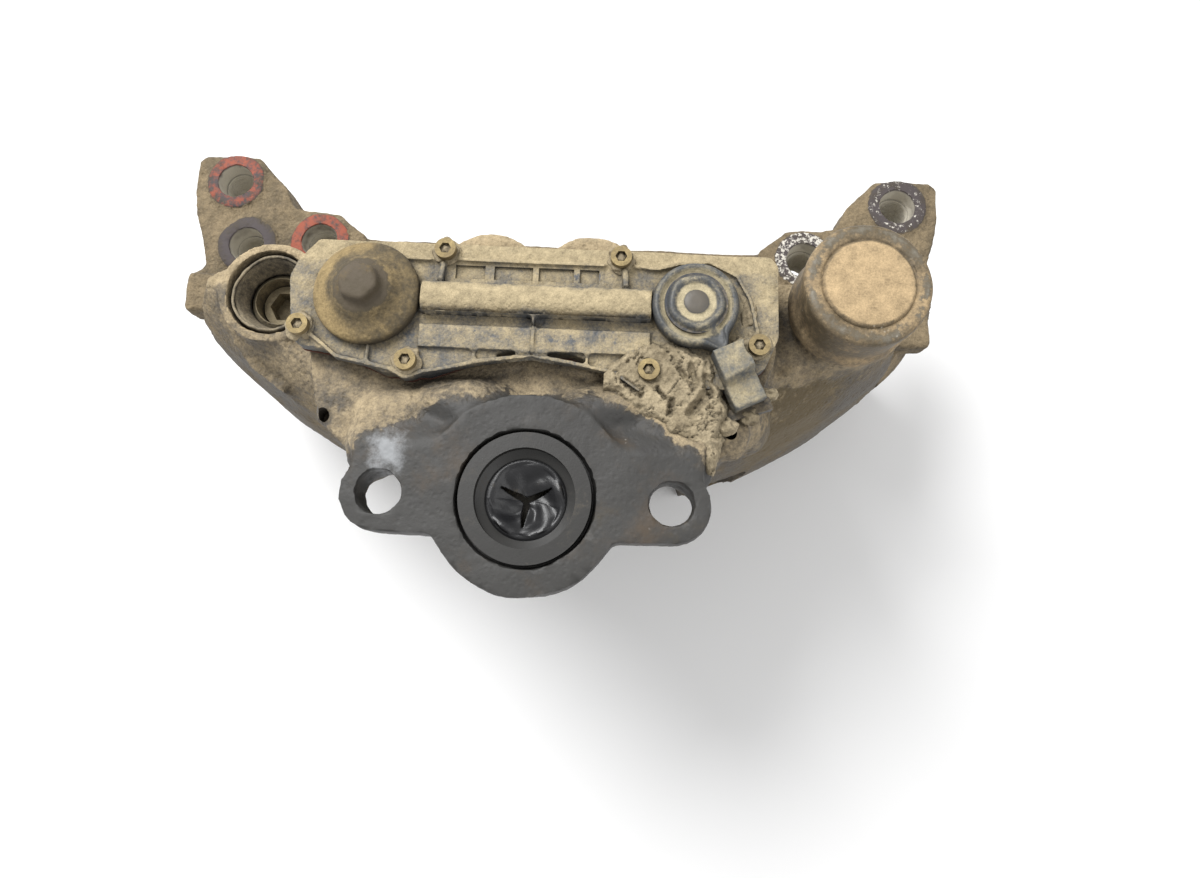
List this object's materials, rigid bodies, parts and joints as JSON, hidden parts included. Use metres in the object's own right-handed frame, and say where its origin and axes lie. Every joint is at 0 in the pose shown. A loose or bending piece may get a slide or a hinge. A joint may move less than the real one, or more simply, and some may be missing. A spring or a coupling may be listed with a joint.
{
  "type": "air disc brake caliper",
  "caption": "Floating air disc brake caliper for a heavy vehicle wheel, with its carrier bracket, guide pins, pads, lever, tappets and chain-driven adjuster.",
  "frame": {"origin": "midway between the two stud holes of the actuator flange, on the flange face", "axes": "+X along the disc tangent through both stud holes, +Y towards the wheel axle, +Z inboard along the axle, out of the flange face; the part lies on its outboard side"},
  "size_m": [0.4434, 0.253, 0.275],
  "materials": {
    "cast_iron_carrier": "rough as-cast, dried mud",
    "cast_iron_housing": "rough as-cast, dried mud and dust",
    "zinc_steel": "dull plated",
    "bolt_steel": "dusty plated",
    "bright_steel": "ground",
    "bronze": "turned",
    "black_rubber": "matt, worn",
    "dusty_rubber": "matt, dusty",
    "cap_steel": "dusty, worn",
    "cover_plastic": "dusty moulded",
    "gasket_paper": "matt",
    "sensor_plastic": "moulded",
    "spring_steel": "oiled",
    "forged_steel": "forged and ground",
    "backing_steel": "black paint",
    "friction_lining": "moulded friction material"
  },
  "bodies": {
    "carrier_body": {"carrier": "cast_iron_carrier", "guide_sleeve_left": "bright_steel", "guide_sleeve_right": "bright_steel", "guide_bolt_left": "zinc_steel", "guide_bolt_right": "zinc_steel"},
    "caliper_body": {"caliper_housing": "cast_iron_housing", "guide_bush_left": "bronze", "guide_bush_right": "bronze", "guide_boot_left": "black_rubber", "guide_boot_right": "black_rubber", "guide_cap_right": "cap_steel", "guide_seal_left": "black_rubber", "actuator_boot": "black_rubber", "boot_membrane": "black_rubber", "bearing_race": "bright_steel", "bearing_needles": "bright_steel", "tappet_boot_left": "black_rubber", "tappet_boot_right": "black_rubber", "closing_plate": "zinc_steel", "closing_plate_screws": "bolt_steel", "return_spring": "spring_steel", "chain": "spring_steel", "chain_cover": "cover_plastic", "cover_bolts": "bolt_steel", "cover_gasket": "gasket_paper", "adjuster_cap": "dusty_rubber", "sensor_cap": "black_rubber", "wear_sensor": "sensor_plastic", "cable_outlet": "sensor_plastic", "cable_clip": "spring_steel", "retainer_bar": "zinc_steel", "retainer_pin": "zinc_steel"},
    "lever_body": {"lever": "forged_steel", "eccentric_roller": "bright_steel"},
    "bridge_body": {"bridge": "forged_steel"},
    "tappet_left_body": {"tappet_left": "zinc_steel"},
    "tappet_right_body": {"tappet_right": "zinc_steel"},
    "tube_left_body": {"threaded_tube_left": "bright_steel"},
    "tube_right_body": {"threaded_tube_right": "bright_steel"},
    "adjuster_body": {"adjuster_unit": "bright_steel", "adjuster_hex": "bright_steel", "sprocket_left": "bright_steel"},
    "follower_body": {"follower_shaft": "bright_steel", "sprocket_right": "bright_steel"},
    "inner_pad_body": {"inner_pad_backing": "backing_steel", "inner_pad_lining": "friction_lining", "inner_pad_spring": "spring_steel"},
    "outer_pad_body": {"outer_pad_backing": "backing_steel", "outer_pad_lining": "friction_lining", "outer_pad_spring": "spring_steel"}
  },
  "joints": [
    {"name": "caliper_slide", "type": "slide", "parent": "carrier_body", "child": "caliper_body", "axis": [0, 0, 1], "range_m": [0, 0.024], "deforming": ["guide_boot_left", "guide_boot_right"]},
    {"name": "lever_swing", "type": "hinge", "parent": "caliper_body", "child": "lever_body", "pos_m": [0, 0.086, -0.048], "axis": [1, 0, 0], "range_deg": [0, 35.5]},
    {"name": "bridge_slide", "type": "slide", "parent": "caliper_body", "child": "bridge_body", "axis": [0, 0, 1], "range_m": [-0.0036, 0], "stiffness_N_per_m": 8000, "springref_m": 0.012, "deforming": ["return_spring"]},
    {"name": "adjuster_turn", "type": "hinge", "parent": "caliper_body", "child": "adjuster_body", "pos_m": [-0.074, 0.086, -0.02], "axis": [0, 0, 1], "range_deg": [0, 1801]},
    {"name": "follower_turn", "type": "hinge", "parent": "caliper_body", "child": "follower_body", "pos_m": [0.068, 0.086, -0.02], "axis": [0, 0, 1], "range_deg": [0, 1801]},
    {"name": "tappet_left_slide", "type": "slide", "parent": "bridge_body", "child": "tappet_left_body", "axis": [0, 0, 1], "range_m": [-0.0181, 0], "deforming": ["tappet_boot_left"]},
    {"name": "tappet_right_slide", "type": "slide", "parent": "bridge_body", "child": "tappet_right_body", "axis": [0, 0, 1], "range_m": [-0.0181, 0], "deforming": ["tappet_boot_right"]},
    {"name": "tube_left_turn", "type": "hinge", "parent": "tappet_left_body", "child": "tube_left_body", "pos_m": [-0.074, 0.086, -0.08], "axis": [0, 0, 1], "range_deg": [0, 1801]},
    {"name": "tube_right_turn", "type": "hinge", "parent": "tappet_right_body", "child": "tube_right_body", "pos_m": [0.068, 0.086, -0.08], "axis": [0, 0, 1], "range_deg": [0, 1801]},
    {"name": "inner_pad_slide", "type": "slide", "parent": "carrier_body", "child": "inner_pad_body", "axis": [0, 0, 1], "range_m": [-0.018, 0]},
    {"name": "outer_pad_slide", "type": "slide", "parent": "carrier_body", "child": "outer_pad_body", "axis": [0, 0, 1], "range_m": [0, 0.0241]}
  ],
  "couplings": [
    {"joint": "lever_swing", "follows": "bridge_slide", "rad_per_m": -169.69},
    {"joint": "adjuster_turn", "follows": "inner_pad_slide", "rad_per_m": -1745.3},
    {"joint": "follower_turn", "follows": "inner_pad_slide", "rad_per_m": -1745.3},
    {"joint": "tappet_left_slide", "follows": "inner_pad_slide", "ratio": 1},
    {"joint": "tappet_right_slide", "follows": "inner_pad_slide", "ratio": 1},
    {"joint": "tube_left_turn", "follows": "inner_pad_slide", "rad_per_m": -1745.3},
    {"joint": "tube_right_turn", "follows": "inner_pad_slide", "rad_per_m": -1745.3},
    {"joint": "outer_pad_slide", "follows": "caliper_slide", "ratio": 1}
  ]
}
